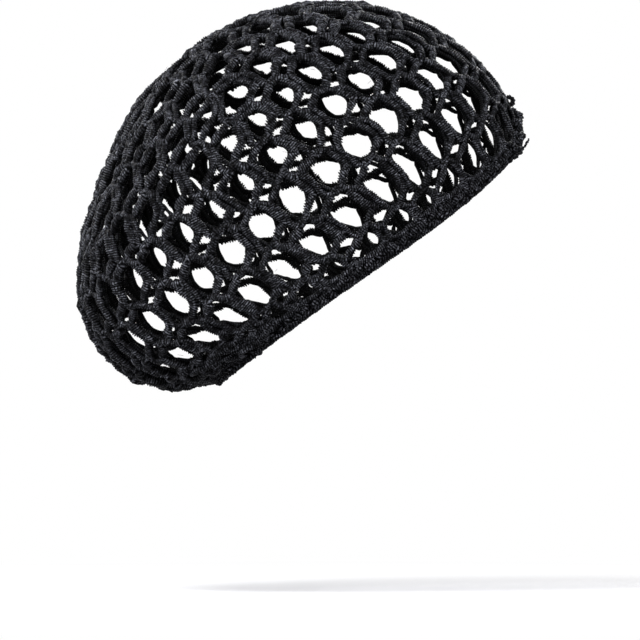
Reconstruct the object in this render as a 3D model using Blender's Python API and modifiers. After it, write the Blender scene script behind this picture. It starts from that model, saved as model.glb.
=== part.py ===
"""A crocheted hairnet: an open mesh bag closed by a dense crocheted edge band.

Units are metres, +Z is up and +X is the front. The hairnet keeps the form that it has when it is worn.
Its origin is the centre of its opening, which is tilted up towards the front.
"""
import math

import bmesh
import bpy
from mathutils import Vector

OBJECT_NAME = "crocheted_hairnet"

# The net's opening, tilted up towards the front, and the dip of its edge between the front and the middle of
# each side. DIP_PEAK is the largest value of the dip's formula before it is scaled.
OPENING_TILT = math.radians(37.5)
SIDE_DIP = 0.0045
SIDE_DIP_FADE = 0.2
DIP_PEAK = 1.69

# The crocheted edging round the net's opening
BAND_THICKNESS = 0.0046
BAND_EDGE_ROUND = 0.0012
BAND_ROUNDED_ANGLE = math.radians(50.0)
BAND_ROWS = 2
EDGE_STEPS_PER_OPENING = 4

# The crocheted mesh: the reach of an opening is from its middle to its rim, and its roundness is 1 for a
# circle and 0 for straight sides. The lean is how much further forward each round starts, in openings.
NET_THICKNESS = 0.0042
LEAST_STRUT_WIDTH = 0.0080
OPENING_REACH = 0.0140
ROUNDNESS = 0.5
OPENING_LEAN = -0.25

# The gap between the two pieces, and the length up the bag's side that it is measured on
PIECE_GAP = 0.0007
BAG_LENGTH = 0.240

SMOOTH_ANGLE = math.radians(35.0)

# The gathers at the back, deepest a little way up from the band
GATHER_DEPTH = 0.0026
GATHER_COUNT = 11
GATHER_RISE = 0.08
GATHER_HALF_WIDTH = math.radians(60.0)

# Shape of a section: how much narrower its front half is than its back half, how blunt its two ends are,
# where 1 is an ellipse and less is blunter, and how much the openings crowd together at its two sides
EGG_SHAPE = 0.05
END_BLUNTNESS = 0.83
SIDE_CROWDING = 0.02

# Sections of the bag, from the lower edge of the band to the top of the crown. Each one is a closed curve
# through a point in front and a point at the back.
# share: how far up the bag, 0 at the net's lower edge and 1 at the top
# front_x, front_z: its point in front
# back_x, back_z: its point at the back
# half_width: half of its width, side to side
SECTION_COLUMNS = ("share", "front_x", "front_z", "back_x", "back_z", "half_width")
SECTION_ROWS = (
    (-0.045, 0.0888, 0.0672, -0.0864, -0.0676, 0.0765),
    (0.000, 0.0910, 0.0795, -0.0972, -0.0682, 0.0800),
    (0.083, 0.0853, 0.0989, -0.1160, -0.0712, 0.0872),
    (0.167, 0.0738, 0.1168, -0.1358, -0.0675, 0.0920),
    (0.250, 0.0585, 0.1318, -0.1537, -0.0559, 0.0953),
    (0.333, 0.0405, 0.1438, -0.1669, -0.0386, 0.0965),
    (0.417, 0.0209, 0.1527, -0.1736, -0.0179, 0.0958),
    (0.500, 0.0002, 0.1582, -0.1734, 0.0039, 0.0923),
    (0.583, -0.0212, 0.1600, -0.1688, 0.0253, 0.0853),
    (0.667, -0.0426, 0.1581, -0.1622, 0.0462, 0.0745),
    (0.750, -0.0634, 0.1529, -0.1550, 0.0668, 0.0605),
    (0.833, -0.0833, 0.1448, -0.1461, 0.0868, 0.0430),
    (0.917, -0.1019, 0.1340, -0.1342, 0.1052, 0.0223),
    (1.000, -0.1188, 0.1207, -0.1188, 0.1207, 0.0000),
)

# Rounds of openings, from the band to the crown
# share: how far up the bag their centres are
# openings: how many there are in the round
ROUND_COLUMNS = ("share", "openings")
ROUND_ROWS = (
    (0.052, 18),
    (0.175, 19),
    (0.300, 19),
    (0.420, 18),
    (0.540, 16),
    (0.660, 13),
    (0.775, 10),
    (0.890, 5),
)

# A point well inside the bag, and how near upright the way out of an opening is before its axes start from X
BAG_HEART = Vector((-0.045, 0.0, 0.045))
NEAR_UPRIGHT = 0.9

# Colour, roughness and metallic value of each sub-part
YARN_FINISH = ((0.012, 0.012, 0.015, 1.0), 0.62, 0.0)
BAND_FINISH = ((0.009, 0.009, 0.011, 1.0), 0.68, 0.0)


def named_rows(columns, rows):
    """A table's rows as dictionaries keyed by its column names."""
    return [dict(zip(columns, row)) for row in rows]


SECTIONS = named_rows(SECTION_COLUMNS, SECTION_ROWS)
ROUNDS = named_rows(ROUND_COLUMNS, ROUND_ROWS)
BAND_TOP = -PIECE_GAP / BAG_LENGTH
OPENING_AXIS = Vector((-math.sin(OPENING_TILT), 0.0, math.cos(OPENING_TILT)))
SIDEWAYS = Vector((0.0, 1.0, 0.0))


def mirrored_over_the_top():
    """The section just past the top, which keeps the crown smooth there."""
    top = SECTIONS[-1]
    last = SECTIONS[-2]
    return {
        "share": 2.0 * top["share"] - last["share"],
        "front_x": last["back_x"],
        "front_z": last["back_z"],
        "back_x": last["front_x"],
        "back_z": last["front_z"],
        "half_width": -last["half_width"],
    }


def section_at(share):
    """All values of a section, on smooth curves through the table's rows."""
    rows = SECTIONS + [mirrored_over_the_top()]
    index = 0
    while index < len(rows) - 3 and share > rows[index + 1]["share"]:
        index += 1
    low = rows[index]
    high = rows[index + 1]
    before = rows[max(index - 1, 0)]
    after = rows[index + 2]
    span = high["share"] - low["share"]
    along = (share - low["share"]) / span
    values = {}
    for name in SECTION_COLUMNS[1:]:
        start_slope = (high[name] - before[name]) / (high["share"] - before["share"])
        end_slope = (after[name] - low[name]) / (after["share"] - low["share"])
        values[name] = (
            (2.0 * along**3 - 3.0 * along**2 + 1.0) * low[name]
            + (along**3 - 2.0 * along**2 + along) * span * start_slope
            + (3.0 * along**2 - 2.0 * along**3) * high[name]
            + (along**3 - along**2) * span * end_slope
        )
    return values


def side_dip(angle, share):
    """How far the edge dips between the front and the middle of a side."""
    fade = max(0.0, 1.0 - max(share, 0.0) / SIDE_DIP_FADE)
    dip = math.sin(angle) ** 2 * (1.0 + math.cos(angle)) ** 2 / DIP_PEAK
    return SIDE_DIP * dip * fade**2


def back_gather(angle, share):
    """Outward wave of the gathers at the back."""
    off_back = abs(math.pi - angle % math.tau)
    if off_back > GATHER_HALF_WIDTH:
        return 0.0
    reach = math.cos(0.5 * math.pi * off_back / GATHER_HALF_WIDTH) ** 2
    rise = max(share, 0.0) / GATHER_RISE
    return GATHER_DEPTH * reach * rise * math.exp(1.0 - rise) * math.cos(GATHER_COUNT * off_back)


def bag_point(turn, share):
    """A point of the bag's middle surface.

    turn goes from 0 at the front, along the right side, through 0.5 at the back, to 1.
    """
    angle = math.tau * turn
    angle += SIDE_CROWDING * math.sin(2.0 * angle)
    section = section_at(share)
    front = Vector((section["front_x"], 0.0, section["front_z"]))
    back = Vector((section["back_x"], 0.0, section["back_z"]))
    across = math.copysign(abs(math.sin(angle)) ** END_BLUNTNESS, math.sin(angle))
    side = section["half_width"] * across * (1.0 - EGG_SHAPE * math.cos(angle))
    point = 0.5 * (front + back) + 0.5 * (front - back) * math.cos(angle) - SIDEWAYS * side
    point += (front - back).normalized() * back_gather(angle, share) * math.cos(angle)
    return point - OPENING_AXIS * side_dip(angle, share)


def round_turns():
    """Turn of every opening's centre, one list for each round.

    Each round starts a little further forward than the one below it, so the openings lean in their columns.
    """
    turns = []
    start = 0.0
    for row in ROUNDS:
        count = row["openings"]
        start += OPENING_LEAN / count
        turns.append([start + index / count for index in range(count)])
    return turns


def strip_between(lower, upper):
    """Triangles of three (side, index) keys between two rounds, walking once round the bag.

    Side 0 is the lower round and side 1 the upper one. An index past the end of a round starts it again.
    """
    def turn_of(turns, index):
        wraps, place = divmod(index, len(turns))
        return turns[place] + wraps

    triangles = []
    low = 0
    high = 0
    while low < len(lower) or high < len(upper):
        if high >= len(upper) or (low < len(lower) and turn_of(lower, low + 1) < turn_of(upper, high + 1)):
            triangles.append(((0, low), (0, low + 1), (1, high)))
            low += 1
        else:
            triangles.append(((0, low), (1, high), (1, high + 1)))
            high += 1
    return triangles


def edge_turns(lowest):
    """Turns of the points along the net's lower edge, which the band's facets share."""
    steps = EDGE_STEPS_PER_OPENING * len(lowest)
    start = lowest[0] - 0.5 / len(lowest)
    return [start + step / steps for step in range(steps)]


def opening_centres(rounds):
    """Centres of the openings, round by round, with the one at the top last."""
    centres = []
    for turns, row in zip(rounds, ROUNDS):
        centres += [bag_point(turn, row["share"]) for turn in turns]
    centres.append(bag_point(0.0, SECTIONS[-1]["share"]))
    return centres


def mesh_junctions(rounds):
    """Junctions between the openings, as (point, openings that meet there)."""
    firsts = [sum(len(turns) for turns in rounds[:level]) for level in range(len(rounds))]
    top_opening = sum(len(turns) for turns in rounds)
    junctions = []
    for step, turn in enumerate(edge_turns(rounds[0])):
        opening, quarter = divmod(step, EDGE_STEPS_PER_OPENING)
        openings = (opening,)
        if quarter == 0:
            openings = (opening, (opening - 1) % len(rounds[0]))
        junctions.append((bag_point(turn, 0.0), openings))
    for level in range(len(rounds) - 1):
        for triangle in strip_between(rounds[level], rounds[level + 1]):
            turn_sum = 0.0
            share_sum = 0.0
            openings = []
            for side, index in triangle:
                turns = rounds[level + side]
                wraps, place = divmod(index, len(turns))
                turn_sum += turns[place] + wraps
                share_sum += ROUNDS[level + side]["share"]
                openings.append(firsts[level + side] + place)
            junctions.append((bag_point(turn_sum / 3.0, share_sum / 3.0), tuple(openings)))
    last = rounds[-1]
    inner_share = (2.0 * ROUNDS[-1]["share"] + SECTIONS[-1]["share"]) / 3.0
    for index, turn in enumerate(last):
        after = (index + 1) % len(last)
        pair = (firsts[-1] + index, firsts[-1] + after)
        junctions.append((bag_point(turn + 0.5 / len(last), inner_share), pair + (top_opening,)))
    return junctions


def sorted_round(centre, points):
    """Indices of points in order round a centre, seen from outside the bag."""
    outward = (centre - BAG_HEART).normalized()
    first_axis = outward.cross(Vector((0.0, 0.0, 1.0))).normalized()
    if abs(outward.z) > NEAR_UPRIGHT:
        first_axis = outward.cross(Vector((1.0, 0.0, 0.0))).normalized()
    second_axis = outward.cross(first_axis)

    def bearing(index):
        offset = points[index] - centre
        return math.atan2(offset.dot(second_axis), offset.dot(first_axis))

    return sorted(range(len(points)), key=bearing)


def add_openings(sheet):
    """One face for each opening, with the mesh's junctions as its corners."""
    rounds = round_turns()
    centres = opening_centres(rounds)
    junctions = mesh_junctions(rounds)
    corners = [sheet.verts.new(point) for point, _ in junctions]
    for opening, centre in enumerate(centres):
        around = [corner for corner, (_, openings) in zip(corners, junctions) if opening in openings]
        order = sorted_round(centre, [corner.co for corner in around])
        sheet.faces.new([around[index] for index in order])


def round_off(face):
    """Pull a face's corners towards a circle of the opening's size, as pulled yarn rounds an opening."""
    centre = face.calc_center_median()
    mean_reach = sum((vert.co - centre).length for vert in face.verts) / len(face.verts)
    open_reach = min(mean_reach, OPENING_REACH)
    for vert in face.verts:
        offset = vert.co - centre
        reach = offset.length * open_reach / mean_reach
        reach += ROUNDNESS * (open_reach - reach)
        vert.co = centre + offset.normalized() * reach


def finish(name, collection, mesh, surface_finish):
    """An object of the collection with its own material."""
    colour, roughness, metallic = surface_finish
    material = bpy.data.materials.new(name + "_finish")
    material.use_nodes = True
    shader = material.node_tree.nodes["Principled BSDF"]
    shader.inputs["Base Color"].default_value = colour
    shader.inputs["Roughness"].default_value = roughness
    shader.inputs["Metallic"].default_value = metallic
    mesh.materials.append(material)
    mesh.shade_smooth()
    mesh.set_sharp_from_angle(angle=SMOOTH_ANGLE)
    piece = bpy.data.objects.new(name, mesh)
    collection.objects.link(piece)
    return piece


def thicken(piece, thickness):
    """Give an open sheet its wall, half to each side."""
    wall = piece.modifiers.new("wall", "SOLIDIFY")
    wall.thickness = thickness
    wall.offset = 0.0
    wall.use_even_offset = True
    wall.use_rim = True


def build_net(collection):
    """The mesh bag: a thick sheet cut through by every opening."""
    sheet = bmesh.new()
    add_openings(sheet)
    inner_edges = [edge for edge in sheet.edges if not edge.is_boundary]
    bmesh.ops.subdivide_edges(sheet, edges=inner_edges, cuts=1)
    holes = list(sheet.faces)
    bmesh.ops.inset_individual(sheet, faces=holes, thickness=0.5 * LEAST_STRUT_WIDTH, use_even_offset=True)
    for face in holes:
        round_off(face)
    bmesh.ops.delete(sheet, geom=holes, context="FACES_ONLY")
    bmesh.ops.recalc_face_normals(sheet, faces=sheet.faces[:])
    mesh = bpy.data.meshes.new("net")
    sheet.to_mesh(mesh)
    sheet.free()
    net = finish("net", collection, mesh, YARN_FINISH)
    thicken(net, NET_THICKNESS)


def build_edge_band(collection):
    """The crocheted edging: a closed strip under the net's lower edge."""
    sheet = bmesh.new()
    lowest = SECTIONS[0]["share"]
    turns = edge_turns(round_turns()[0])
    rows = []
    for row in range(BAND_ROWS + 1):
        share = lowest + (BAND_TOP - lowest) * row / BAND_ROWS
        rows.append([sheet.verts.new(bag_point(turn, share)) for turn in turns])
    for low_row, high_row in zip(rows, rows[1:]):
        for step in range(len(turns)):
            after = (step + 1) % len(turns)
            sheet.faces.new((low_row[step], low_row[after], high_row[after], high_row[step]))
    bmesh.ops.recalc_face_normals(sheet, faces=sheet.faces[:])
    mesh = bpy.data.meshes.new("edge_band")
    sheet.to_mesh(mesh)
    sheet.free()
    band = finish("edge_band", collection, mesh, BAND_FINISH)
    thicken(band, BAND_THICKNESS)
    rounding = band.modifiers.new("rounding", "BEVEL")
    rounding.width = BAND_EDGE_ROUND
    rounding.segments = 1
    rounding.limit_method = "ANGLE"
    rounding.angle_limit = BAND_ROUNDED_ANGLE


def main():
    for leftover in list(bpy.data.objects):
        bpy.data.objects.remove(leftover, do_unlink=True)
    collection = bpy.data.collections.new(OBJECT_NAME)
    bpy.context.scene.collection.children.link(collection)
    build_net(collection)
    build_edge_band(collection)


main()
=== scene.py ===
import math

import bpy
import numpy as np
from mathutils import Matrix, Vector


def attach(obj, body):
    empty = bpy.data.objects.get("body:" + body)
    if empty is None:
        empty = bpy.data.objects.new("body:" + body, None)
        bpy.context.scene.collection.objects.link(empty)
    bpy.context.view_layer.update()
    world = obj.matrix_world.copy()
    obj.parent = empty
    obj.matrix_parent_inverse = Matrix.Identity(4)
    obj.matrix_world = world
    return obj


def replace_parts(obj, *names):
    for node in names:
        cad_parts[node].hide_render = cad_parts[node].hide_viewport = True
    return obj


# Looks of the crocheted hairnet. Lengths are metres, and points are in the frame's own coordinates.
# A place on the bag is a spot: two numbers on a flat disc whose centre is the top of the crown and whose rim,
# at a distance of 1, is the net's lower edge. Its turn is its bearing: 0 in front, 0.25 on the right and 0.5
# behind. Its share is how far up the bag it is: 0 at the lower edge and 1 at the top.
MM = 0.001
TAU = 2.0 * math.pi
TINY = 1e-12
RNG = np.random.default_rng(20)


def named_rows(columns, *rows):
    """A table's rows as dictionaries keyed by its column names."""
    return [dict(zip(columns, row)) for row in rows]


# The bag's surface, as the part's source has it
OPENING_TILT = math.radians(37.5)
SIDE_DIP = 0.0045
SIDE_DIP_FADE = 0.2
DIP_PEAK = 1.69
GATHER_DEPTH = 0.0026
GATHER_COUNT = 11
GATHER_RISE = 0.08
GATHER_HALF_WIDTH = math.radians(60.0)
EGG_SHAPE = 0.05
END_BLUNTNESS = 0.83
SIDE_CROWDING = 0.02
OPENING_AXIS = np.array((-math.sin(OPENING_TILT), 0.0, math.cos(OPENING_TILT)))
SECTION_COLUMNS = ("share", "front_x", "front_z", "back_x", "back_z", "half_width")
SECTION_ROWS = (
    (-0.045, 0.0888, 0.0672, -0.0864, -0.0676, 0.0765),
    (0.000, 0.0910, 0.0795, -0.0972, -0.0682, 0.0800),
    (0.083, 0.0853, 0.0989, -0.1160, -0.0712, 0.0872),
    (0.167, 0.0738, 0.1168, -0.1358, -0.0675, 0.0920),
    (0.250, 0.0585, 0.1318, -0.1537, -0.0559, 0.0953),
    (0.333, 0.0405, 0.1438, -0.1669, -0.0386, 0.0965),
    (0.417, 0.0209, 0.1527, -0.1736, -0.0179, 0.0958),
    (0.500, 0.0002, 0.1582, -0.1734, 0.0039, 0.0923),
    (0.583, -0.0212, 0.1600, -0.1688, 0.0253, 0.0853),
    (0.667, -0.0426, 0.1581, -0.1622, 0.0462, 0.0745),
    (0.750, -0.0634, 0.1529, -0.1550, 0.0668, 0.0605),
    (0.833, -0.0833, 0.1448, -0.1461, 0.0868, 0.0430),
    (0.917, -0.1019, 0.1340, -0.1342, 0.1052, 0.0223),
    (1.000, -0.1188, 0.1207, -0.1188, 0.1207, 0.0000),
)

# Steps on the disc that the surface's directions are measured over: outward, and along a round
NORMAL_STEP = 0.004
ALONG_STEP = 0.01

# Rounds of openings, from the band to the crown
# share: how far up the bag their centres are
# openings: how many there are in the round
# offset: turn of its first opening, in openings
ROUNDS = named_rows(
    ("share", "openings", "offset"),
    (0.060, 33, 0.75),
    (0.148, 33, 0.44),
    (0.250, 33, 0.06),
    (0.354, 33, 0.71),
    (0.460, 32, 0.22),
    (0.580, 26, 0.69),
    (0.695, 20, 0.18),
    (0.800, 13, 0.80),
    (0.900, 7, 0.30),
)

# The lowest rounds are drawn down towards the band, most towards the front of each side and at the back
SIDE_DRAW = 0.026
SIDE_DRAW_TURN = 0.155
SIDE_DRAW_REACH = 0.060
BACK_DRAW = 0.020
BACK_DRAW_REACH = 0.120
DRAW_FADE = 0.30

# On each side the edge is pulled long: its openings are farther apart there, and flat
PULL_TURN = 0.20
PULL_REACH = 0.09
PULL_STRETCH = 0.018
PULL_FADE = 0.4
PULL_DROP = 0.024
PULL_DROP_TURNS = (0.10, 0.165, 0.34, 0.42)

# Stitches. Their sizes are for openings one NORMAL_PITCH apart, and grow with the pitch. The yarn's girth
# varies less. It is stretched thin in front, and is slacker over the crown and at the back.
NORMAL_PITCH = 25.0 * MM
SIZE_RANGE = (0.72, 1.12)
GIRTH_SHARE = 0.25
FRONT_THINNING = 0.30
CROWN_SLACK = 0.45
BAG_RADIUS = 95.0 * MM
SPOT_JITTER = 1.0 * MM
WIDTH_JITTER = 0.10
EDGE_JUNCTION_SHARE = -0.004
EDGE_SPREAD = 2.6 * MM

# A pair of posts
POST_SPREAD = 4.7 * MM
SPREAD_JITTER = 0.06
POST_SHARE = 0.84
POST_LEAN = 1.2 * MM
SHORT_POST = 9.5 * MM
POST_WIDTH = 5.8 * MM
POST_SLACK = 0.55
POST_TOP_WIDTH = 0.90
POST_FOOT_WIDTH = 0.92
POST_OVERLAP = 0.2 * MM

# The two strands of an arch, and the post that each one runs on as
# side: which side of the arch's middle it lies on, -1 for left and 1 for right
# width, offset: its width, and how far it lies from the arch's middle
# start, end, post_top: places by its upper junction and its lower one. A place is the left end (-1), middle
# (0) or right end (1), and steps to the right, up and out in millimetres. The first two grow with the stitch.
# post_bend: how far down its post the bend is, as a share, and steps to the right and out, in millimetres
# foot_out: how far out the post's foot is
STRANDS = named_rows(
    ("side", "width", "offset", "start", "end", "post_top", "post_bend", "foot_out"),
    (
        -1.0, 5.2 * MM, 2.0 * MM,
        (0.0, -1.2, -2.0, -0.2), (-1.0, 0.0, -0.3, 0.4), None, (0.50, -0.5, 0.6), -0.2 * MM,
    ),
    (
        1.0, 4.1 * MM, 2.6 * MM,
        (1.0, -1.0, 0.6, 0.2), (0.0, 0.4, 1.2, 0.8), (1.0, 0.4, 0.4, 0.8), (0.42, 0.7, 0.7), -0.1 * MM,
    ),
)
EDGE_TUCK = (0.0, -3.5, 0.6)
OFFSET_JITTER = 0.12
BOW_JITTER = 0.6 * MM
ARCH_PLACES = (0.36, 0.70)
ARCH_RISE = (-0.3, 1.2)
STRAND_RISE = 0.25
ARCH_START_WIDTH = 0.85

# The tight yarn under a pair of posts: its stops at their feet in millimetres, its middle, and its shape
BAR_WIDTH = 4.6 * MM
BAR_STOPS = named_rows(
    ("side", "up", "out", "past_end"),
    (-1.0, 0.8, -0.9, 0.3),
    (-1.0, -0.7, 0.2, 0.0),
    (1.0, -0.9, 0.3, 0.0),
    (1.0, 0.9, -0.9, 0.3),
)
BAR_DROP = (2.2, 0.4)
BAR_RISE = 0.5 * MM
BAR_SHAPE = np.array((0.8, 1.0, 1.08, 1.0, 0.8))

# The short yarn from a pair of posts' feet to the next pair's tops, and the slack thread over it
LINK_WIDTH = 4.7 * MM
LINK_SHAPE = np.array((1.0, 0.95, 1.05, 1.0))
LINK_START_UP = -0.8 * MM
LINK_END_UP = 0.2 * MM
LINK_SAG = 0.5 * MM
LINK_PLACES = (0.33, 0.67)
LINK_BENDS = np.array((0.4, -0.3)) * MM
THREAD_WIDTH = 2.0 * MM
THREAD_SLACK = (0.8 * MM, 2.2 * MM)
THREAD_END_RISE = 1.2 * MM
THREAD_MIDDLE_RISE = 1.0 * MM

# The two strands between junctions that no posts join
PLAIN_PLACES = np.array((0.0, 0.33, 0.67, 1.0))
PLAIN_END_SPREAD = 0.6
PLAIN_RISE = 0.3 * MM

# The cord round the bottom of a lowest opening, which lies beside the arches at its ends
SCALLOP_WIDTH = 4.2 * MM
SCALLOP_SHAPE = np.array((0.8, 1.0, 1.0, 1.0, 1.0, 0.8))
SCALLOP_ON_ARCH = (0.50, 0.24)
SCALLOP_OFF_ARCH = np.array((0.4, 2.2)) * MM
SCALLOP_PLACES = (0.34, 0.66)
SCALLOP_UP = 2.8 * MM
SCALLOP_RISE = 0.9 * MM
BESIDE_ARCH_RISE = 0.6 * MM

# Inner cords, behind the others: the core of an arch, the heart of a junction and the rim of an opening
INNER_STEP = 2.2 * MM
CORE_WIDTH = 4.2 * MM
CORE_OFFSET = 0.4 * MM
CORE_PLACES = (0.3, 0.65)
CORE_DEPTH = 1.0 * MM
EDGE_CORE_DROP = 3.0 * MM
HEART_WIDTH = 5.4 * MM
HEART_REACH = 3.0 * MM
HEART_UP = 1.5 * MM
HEART_DEPTH = 1.2 * MM
HEART_STEP = 2.0 * MM
RIM_WIDTH = 2.8 * MM
RIM_OFFSET = 1.0 * MM
ARCH_RIM_OFFSET = 2.5 * MM
RIM_REACH = 0.45
RIM_DEPTH = 1.3 * MM

# The small loop over a junction that has no posts
KNOT_RADIUS = 1.7 * MM
KNOT_STOPS = 5
KNOT_ARC = 0.8 * TAU
KNOT_RISE = 0.9 * MM
KNOT_GIRTH = 0.85

# Slack cords along the edging on both sides of the back
SLACK_CORDS = 24
SLACK_TURNS = (0.055, 0.150)
SLACK_SHARES = (0.004, 0.092)
SLACK_LENGTHS = (0.008, 0.019)
SLACK_BEND = 0.013
SLACK_SLOPE = (0.004, 0.016)
SLACK_WOBBLE = 0.002
SLACK_RISE = (0.9, 3.2)
SLACK_RISE_SHAPE = np.array((0.0, 0.8, 1.0, 1.0, 0.8, 0.0))
SLACK_RISE_JITTER = 0.25
SLACK_WIDTH = 4.4 * MM

# Loose loops in front. Their stops are at shares of the loop's radius, along the bag and out from it.
LOOPS = 26
LOOP_TURNS = (-0.058, 0.058)
LOOP_SHARES = (-0.028, 0.064)
LOOP_RADIUS = (1.8, 3.5)
LOOP_WIDTH = 3.4 * MM
LOOP_FOOT = 0.9
LOOP_FOOT_DEPTH = 0.5 * MM
LOOP_SHOULDER = 0.8
LOOP_TOP = 1.5
LOOP_TOP_SHIFT = 0.3

# The one loop that is open in the middle, and the yarn's end, whose steps are millimetres
ROUND_LOOP_SHARE = 0.090
ROUND_LOOP_RISE = 1.9 * MM
ROUND_LOOP_RADIUS = 2.8 * MM
ROUND_LOOP_WIDTH = 3.8 * MM
ROUND_LOOP_STOPS = 9
TAIL_TURN = 0.02
TAIL_SHARE = -0.022
TAIL_WIDTH = 1.5 * MM
TAIL_STEPS = ((0.0, 0.0, 0.0), (3.0, -0.5, -0.5), (6.0, -1.0, 0.5), (7.5, -1.0, 3.0), (9.0, -1.5, 5.5))

# Loose fibres. Each one lifts off at its root, rises to its knee and ends at its tip.
FIBRES = 110
FIBRE_SHARES = (-0.04, 0.97)
FIBRE_LENGTH = (2.0, 5.0)
FIBRE_WIDTH = 0.16 * MM
FIBRE_ROOT_RISE = 1.6 * MM
FIBRE_KNEE_RISE = 2.6 * MM
FIBRE_KNEE = 0.4
FIBRE_TIP_RISE = (2.4, 4.0)

# The edging: two rows of stitches over five cords
# low, high: shares that its stitches start and end at
# lean: how far they lean forwards or backwards, in stitches
EDGE_STITCHES = 104
STITCH_ROWS = named_rows(
    ("low", "high", "lean"),
    (-0.0385, -0.019, 0.9),
    (-0.026, 0.001, -0.9),
)
STITCH_JITTER = 0.12
STITCH_HALF_LEAN = (0.55, 0.22)
STITCH_LEANS = np.array((-1.0, -0.4, 0.4, 1.0))
STITCH_LEVELS = np.array((0.0, 0.33, 0.67, 1.0))
STITCH_LIFT = 0.0015
STITCH_RISE = (1.7, 0.45)
STITCH_MORE_RISE = 0.2
STITCH_END_RISE = -0.6
OUTER_STITCH_WIDTH = 3.9 * MM
INNER_STITCH_WIDTH = 3.3 * MM
INNER_STITCH_STEP = 1.6 * MM
EDGE_CORDS = named_rows(
    ("share", "width", "ribbed"),
    (-0.044, 2.6 * MM, True),
    (-0.036, 4.2 * MM, False),
    (-0.024, 4.4 * MM, False),
    (-0.012, 4.2 * MM, False),
    (-0.001, 3.2 * MM, False),
)
EDGE_CORD_STOPS = 161
EDGE_CORD_WAVE = 0.25
EDGE_CORD_FLATNESS = 0.75
EDGE_CORD_STEP = 2.0 * MM

# A cord is a tube with round ends. Ribs are wound across it, unless it is SMOOTH, or SIMPLE and thinner.
RIB_PITCH = 1.45 * MM
RINGS_PER_RIB = 3
RIB_DEPTH = (0.20, 0.46)
RIB_TILT = 0.30
RIB_TILT_JITTER = 0.25
RING_JITTER = 0.06
LUMP_LENGTH = (5.0 * MM, 12.0 * MM)
LUMP_SIZE = 0.09
RING_WOBBLE = 0.10 * MM
CORD_SIDES = 8
CORD_FLATNESS = 0.82
SMOOTH_STEP = 0.9 * MM
SMOOTH = {"ribbed": False}
SIMPLE = {"ribbed": False, "sides": 6}
LEAST_RIBS = 2
LEAST_SMOOTH_RINGS = 4
PATH_STEPS = 7
END_REACH = 0.8
END_WIDTH = 0.45

# Quads that close the end of a tube, by its number of sides
END_QUADS = {
    6: ((0, 1, 2, 3), (0, 3, 4, 5)),
    8: ((0, 1, 2, 3), (0, 3, 4, 7), (4, 5, 6, 7)),
}

# A cord's texture values are turns round it and ribs along it. Each next cord's ribs start farther on. An
# inner cord's turns are raised by some whole ones, which tells the material to paint shade on it, the shade
# of the cords in front.
RIBS_BETWEEN_CORDS = 7.0
INNER_TURNS = 2.0

# Looks of the yarns
# dark, light: colours of its darker and lighter patches
# shine: specular level
YARNS = named_rows(
    ("name", "dark", "light", "shine"),
    ("mesh_yarn", (0.0012, 0.0012, 0.0015, 1.0), (0.0135, 0.0140, 0.0165, 1.0), 0.02),
    ("edging_yarn", (0.0010, 0.0010, 0.0013, 1.0), (0.0110, 0.0114, 0.0134, 1.0), 0.015),
)
YARN_IOR = 1.5

# Textures of a yarn, and how the range of each one's values becomes factors of its colour. Some factors paint
# shade into the colour, and some paint glints as well as random tone.
PATCH_NOISE = {"Scale": 160.0, "Detail": 4.0, "Roughness": 0.65}
PATCH_RANGE = (0.38, 0.62)
GROOVE_RANGE = (0.16, 0.42)
# Painted shade: the colour is darkened in the grooves between the ribs
GROOVE_SHADE_FACTORS = (0.02, 1.0)
GROOVE_ROUGHNESS = (1.0, 0.38)
THREAD_STRETCH = (5.0, 0.6, 1.0)
THREAD_NOISE = {"Scale": 1.6, "Detail": 2.0}
THREAD_RANGE = (0.36, 0.64)
# Random tone along the ribs, whose brightest values are painted glints
THREAD_TONE_AND_GLINT_FACTORS = (0.25, 2.6)
# Painted light and shade: a cord is lighter on its outer side and darker on its flanks and inner side
SIDE_SHADE_RANGE = (-0.1, 0.85)
SIDE_SHADE_FACTORS = (0.22, 1.0)
# Painted shade: inner cords are darker, as if in the shade of the cords in front
INNER_SHADE_RANGE = (0.5 * INNER_TURNS, INNER_TURNS)
INNER_SHADE_FACTORS = (1.0, 0.30)
FLECK_NOISE = {"Scale": 1000.0, "Detail": 1.0, "Roughness": 0.6}
FLECK_RANGE = (0.40, 0.60)
# Fine flecks of random tone, whose brightest values are painted glints
FLECK_TONE_AND_GLINT_FACTORS = (0.10, 2.2)
BUMP = {"Strength": 0.8, "Distance": 0.3 * MM}

# The surroundings are white towards the horizon, and grey above and below it
HORIZON_COLOUR = (1.0, 1.0, 1.0, 1.0)
ZENITH_COLOUR = (0.15, 0.155, 0.17, 1.0)
HORIZON_HEIGHTS = (0.05, 0.16)

# The floor fades into them between two distances
FLOOR_COLOUR = (0.22, 0.22, 0.225, 1.0)
FLOOR_ROUGHNESS = 0.9
FLOOR_HEIGHT = -0.20
FLOOR_RADIUS = 4.0
FLOOR_CORNERS = 96
FLOOR_FADE = (0.1, 0.8)

# Lamps: where each stands, its size across, and its power in watts
LAMPS = named_rows(
    ("name", "place", "across", "power"),
    ("key", (-0.8, -1.7, 1.6), 0.6, 185.0),
    ("front", (1.8, -1.0, 0.8), 0.7, 118.0),
    ("low", (-1.6, -1.1, 0.1), 0.6, 82.0),
    ("back_left", (-1.6, 1.2, 1.2), 0.7, 90.0),
    ("back_right", (0.9, 1.7, 1.3), 0.7, 100.0),
)
LAMP_AIM = (-0.04, 0.0, 0.045)

# The photograph: the size of its pixels, the pixel where the origin is, its middle pixel and its width
METRES_PER_PIXEL = 0.00061
ORIGIN_PIXEL = (367.0, 267.5)
MIDDLE_PIXEL = 320.0
FRAME_PIXELS = 640.0
CAMERA_DISTANCE = 6.0
CAMERA_CLIP_END = 100.0


def unit(vectors):
    """Vectors of length 1 along the last axis."""
    return vectors / np.maximum(np.linalg.norm(vectors, axis=-1, keepdims=True), TINY)


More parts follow.
